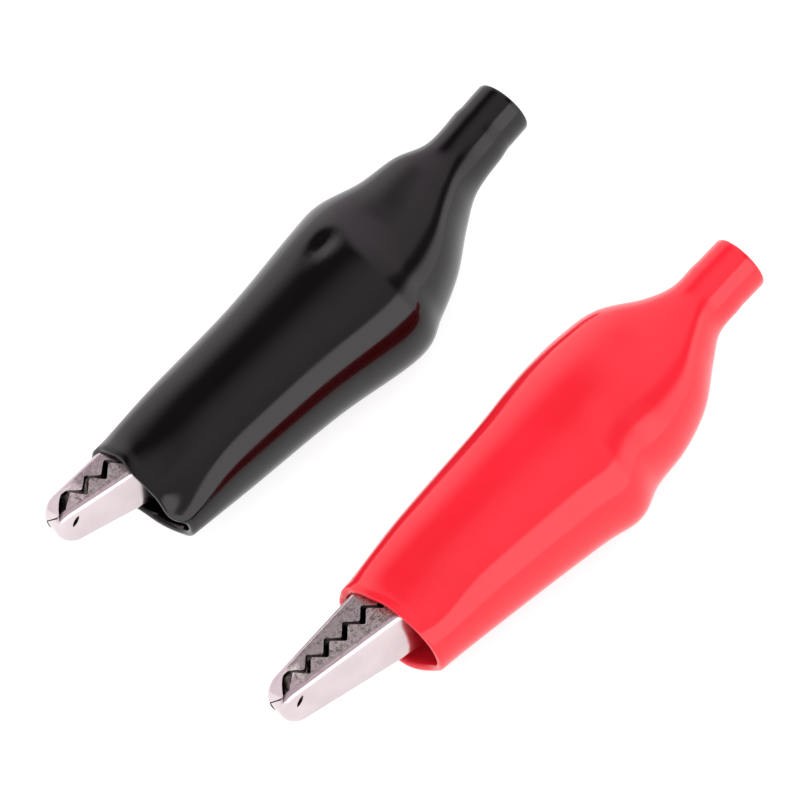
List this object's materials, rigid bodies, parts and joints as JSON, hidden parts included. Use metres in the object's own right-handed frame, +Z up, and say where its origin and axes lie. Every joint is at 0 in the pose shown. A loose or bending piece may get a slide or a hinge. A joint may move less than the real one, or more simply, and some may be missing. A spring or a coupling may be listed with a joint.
{
  "type": "insulated alligator clip pair",
  "caption": "Toothed spring test clips in soft vinyl boots: a matched red and black pair with wire entries at their tails, lying side by side.",
  "frame": {"origin": "on the surface that the pair lies on, under the middle of its bounding box", "axes": "+X towards the jaw tips, +Y from the black clip to the red clip, +Z up along the hinge pins"},
  "size_m": [0.0452, 0.0344, 0.0094],
  "materials": {
    "red_vinyl": "glossy dip-moulded vinyl",
    "black_vinyl": "glossy dip-moulded vinyl",
    "nickel_steel": "stamped sheet steel, bright nickel plate",
    "nickel_rivet": "plated rivet",
    "spring_wire": "drawn spring wire",
    "screw_steel": "zinc plated"
  },
  "bodies": {
    "red_clip": {"red_boot": "red_vinyl", "red_fixed_jaw": "nickel_steel", "red_hinge_pin": "nickel_rivet", "red_spring": "spring_wire", "red_terminal_screw": "screw_steel"},
    "red_jaw": {"red_moving_jaw": "nickel_steel"},
    "black_clip": {"black_boot": "black_vinyl", "black_fixed_jaw": "nickel_steel", "black_hinge_pin": "nickel_rivet", "black_spring": "spring_wire", "black_terminal_screw": "screw_steel"},
    "black_jaw": {"black_moving_jaw": "nickel_steel"}
  },
  "joints": [
    {"name": "red_jaw_hinge", "type": "hinge", "parent": "red_clip", "child": "red_jaw", "pos_m": [0.00569, 0.01008, 0.0047], "axis": [0, 0, 1], "range_deg": [0, 24], "stiffness_Nm_per_rad": 0.03, "springref_deg": -57.3, "deforming": ["red_boot", "red_spring"]},
    {"name": "black_clip_lift", "type": "slide", "parent": "red_clip", "child": "black_clip", "axis": [0, 0, 1], "range_m": [0, 0.02]},
    {"name": "black_jaw_hinge", "type": "hinge", "parent": "black_clip", "child": "black_jaw", "pos_m": [0.00469, -0.01192, 0.0047], "axis": [0, 0, 1], "range_deg": [0, 24], "stiffness_Nm_per_rad": 0.03, "springref_deg": -57.3, "deforming": ["black_boot", "black_spring"]}
  ]
}
